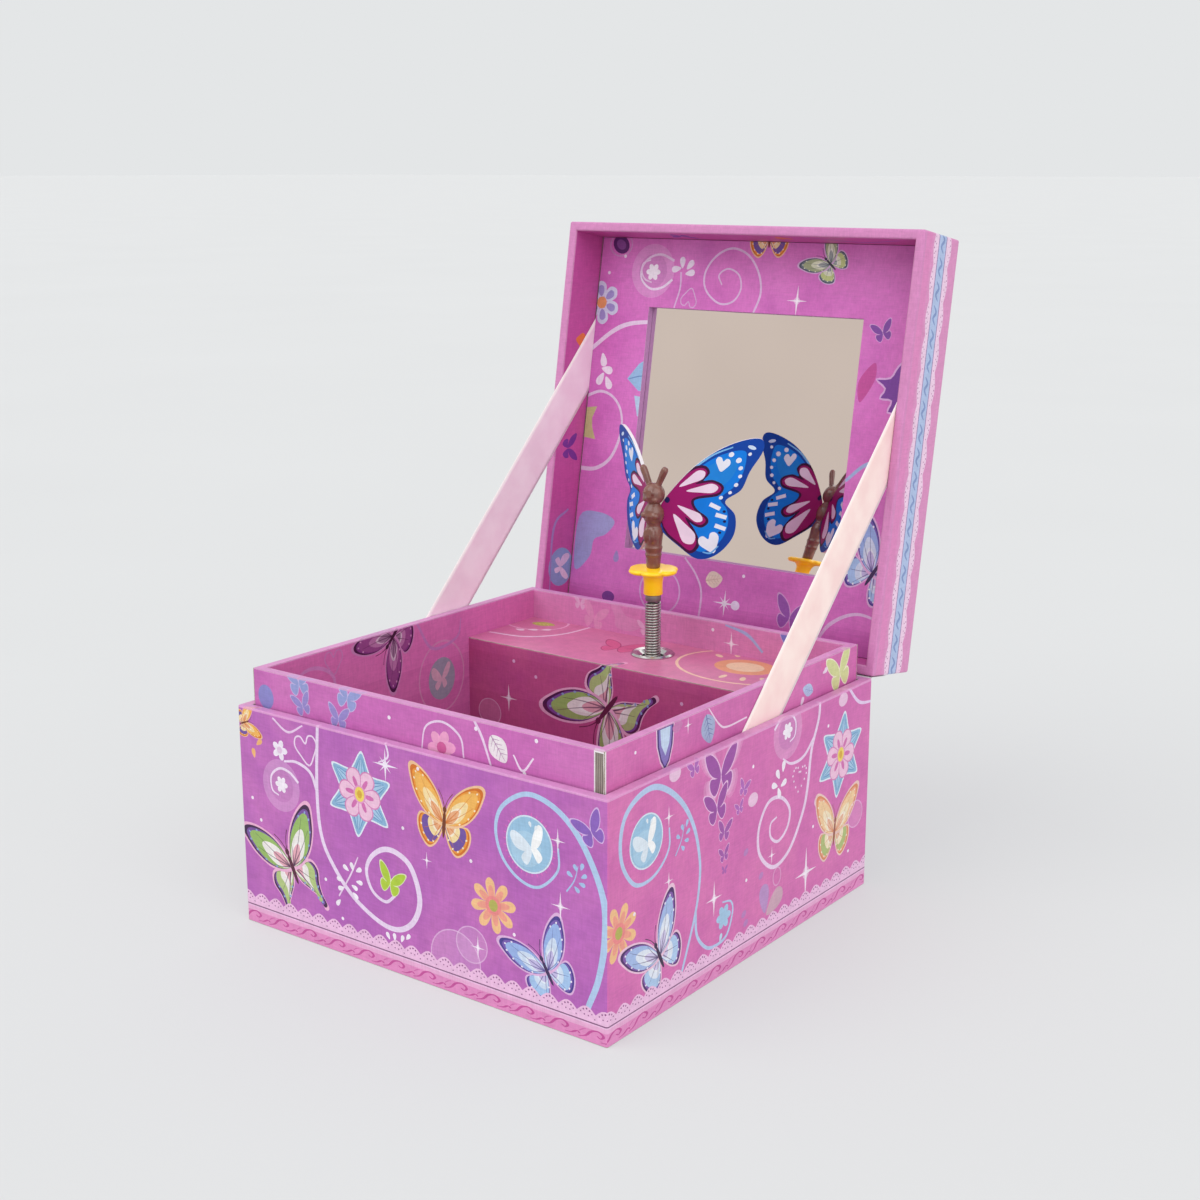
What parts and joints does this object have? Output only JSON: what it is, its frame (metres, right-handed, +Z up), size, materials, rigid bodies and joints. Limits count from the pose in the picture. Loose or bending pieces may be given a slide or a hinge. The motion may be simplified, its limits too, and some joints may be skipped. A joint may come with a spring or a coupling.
{
  "type": "musical jewellery box",
  "caption": "Square paper-covered musical jewellery box, open, with a ribbon-stayed mirror lid and a butterfly that turns on a coiled spring stem.",
  "frame": {"origin": "middle of the underside of the box, on the surface it rests on", "axes": "+Z up, +X to the right seen from the front, +Y towards the lid hinge at the back"},
  "size_m": [0.11, 0.1489, 0.1648],
  "materials": {
    "grey_board": "raw grey board, fibrous",
    "printed_paper_purple": "matt-varnished print, magenta and violet, with butterflies, flowers and swirls",
    "printed_paper_pink": "matt-varnished print, pink, with butterflies, flowers and swirls",
    "lining_paper": "matt-varnished print, deeper magenta",
    "satin_ribbon": "pale pink satin with picot edges",
    "mirror_silver": "silvered sheet",
    "eyelet_nickel": "bright nickel plate",
    "spring_steel": "bright wire",
    "movement_steel": "ground steel",
    "blued_steel": "blued spring steel",
    "movement_brass": "machined brass",
    "key_brass": "polished",
    "yellow_plastic": "glossy moulded plastic",
    "brown_plastic": "glossy moulded plastic",
    "wing_print": "printed sheet, blue with magenta roots and pale spots"
  },
  "bodies": {
    "box": {"base_board": "printed_paper_pink", "front_wall": "grey_board", "back_wall": "grey_board", "left_wall": "grey_board", "right_wall": "grey_board", "outer_wrap": "printed_paper_purple", "collar_front": "printed_paper_purple", "collar_back": "printed_paper_purple", "collar_left": "printed_paper_purple", "collar_right": "printed_paper_pink", "compartment_floor": "lining_paper", "housing_front_panel": "printed_paper_purple", "housing_top_panel": "printed_paper_pink", "stem_eyelet": "eyelet_nickel", "paper_hinge": "printed_paper_pink", "left_ribbon": "satin_ribbon", "right_ribbon": "satin_ribbon", "movement_bedplate": "movement_steel", "movement_screws": "movement_steel", "click_pawl": "movement_steel", "stem_bracket": "movement_brass", "cylinder_bracket": "movement_brass", "music_comb": "movement_steel", "comb_mount": "movement_brass", "comb_screws": "movement_steel", "governor_frame": "movement_steel"},
    "lid": {"lid_front_wall": "grey_board", "lid_back_wall": "grey_board", "lid_left_wall": "grey_board", "lid_right_wall": "grey_board", "lid_top_board": "grey_board", "lid_wrap": "printed_paper_pink", "lid_lining_panel": "lining_paper", "mirror_frame": "grey_board", "mirror": "mirror_silver"},
    "barrel": {"barrel_drum": "movement_brass", "mainspring": "blued_steel"},
    "winder": {"winding_arbor": "movement_steel", "ratchet_wheel": "movement_steel", "winding_key": "key_brass"},
    "output_shaft": {"output_stem": "movement_steel"},
    "cylinder": {"pinned_cylinder": "movement_brass", "cylinder_arbor": "movement_steel"},
    "second_wheel": {"second_arbor": "movement_brass"},
    "governor": {"governor_worm": "movement_steel", "air_brake": "movement_brass"},
    "stop_lever": {"stop_wire": "movement_steel"},
    "figure_carrier": {"spring_stem": "spring_steel", "spring_ferrule": "spring_steel"},
    "figure": {"flower_base": "yellow_plastic", "butterfly_body": "brown_plastic", "left_wing": "wing_print", "right_wing": "wing_print"}
  },
  "joints": [
    {"name": "lid_hinge", "type": "hinge", "parent": "box", "child": "lid", "pos_m": [0, 0.0557, 0.05515], "axis": [1, 0, 0], "range_deg": [0, 99.6], "deforming": ["left_ribbon", "right_ribbon", "paper_hinge"]},
    {"name": "figure_tilt", "type": "hinge", "parent": "box", "child": "figure_carrier", "pos_m": [0, 0.038, 0.06], "axis": [1, 0, 0], "range_deg": [0, 90], "deforming": ["spring_stem", "left_wing", "right_wing"]},
    {"name": "stop_wire_slide", "type": "slide", "parent": "box", "child": "stop_lever", "axis": [0, 0, 1], "range_m": [-0.0026, 0]},
    {"name": "barrel_spin", "type": "hinge", "parent": "box", "child": "barrel", "pos_m": [0, 0.045, 0.025], "axis": [0, 1, 0], "continuous": true},
    {"name": "output_spin", "type": "hinge", "parent": "box", "child": "output_shaft", "pos_m": [0, 0.038, 0.04], "axis": [0, 0, 1], "continuous": true},
    {"name": "figure_spin", "type": "hinge", "parent": "figure_carrier", "child": "figure", "pos_m": [0, 0.038, 0.078], "axis": [0, 0, 1], "continuous": true},
    {"name": "cylinder_spin", "type": "hinge", "parent": "box", "child": "cylinder", "pos_m": [0.027, 0.038, 0.025], "axis": [1, 0, 0], "continuous": true},
    {"name": "second_wheel_spin", "type": "hinge", "parent": "box", "child": "second_wheel", "pos_m": [0.043, 0.038, 0.035], "axis": [1, 0, 0], "continuous": true},
    {"name": "governor_spin", "type": "hinge", "parent": "box", "child": "governor", "pos_m": [0.0442, 0.03055, 0.035], "axis": [0, 0, 1], "continuous": true},
    {"name": "key_wind", "type": "hinge", "parent": "box", "child": "winder", "pos_m": [0, 0.055, 0.025], "axis": [0, 1, 0], "continuous": true}
  ],
  "couplings": [
    {"joint": "figure_tilt", "follows": "lid_hinge", "ratio": 0.9036},
    {"joint": "stop_wire_slide", "follows": "lid_hinge", "m_per_rad": -0.0014381},
    {"joint": "output_spin", "follows": "barrel_spin", "ratio": -4},
    {"joint": "figure_spin", "follows": "barrel_spin", "ratio": -4},
    {"joint": "cylinder_spin", "follows": "barrel_spin", "ratio": -4},
    {"joint": "second_wheel_spin", "follows": "barrel_spin", "ratio": 12},
    {"joint": "governor_spin", "follows": "barrel_spin", "ratio": 288}
  ]
}
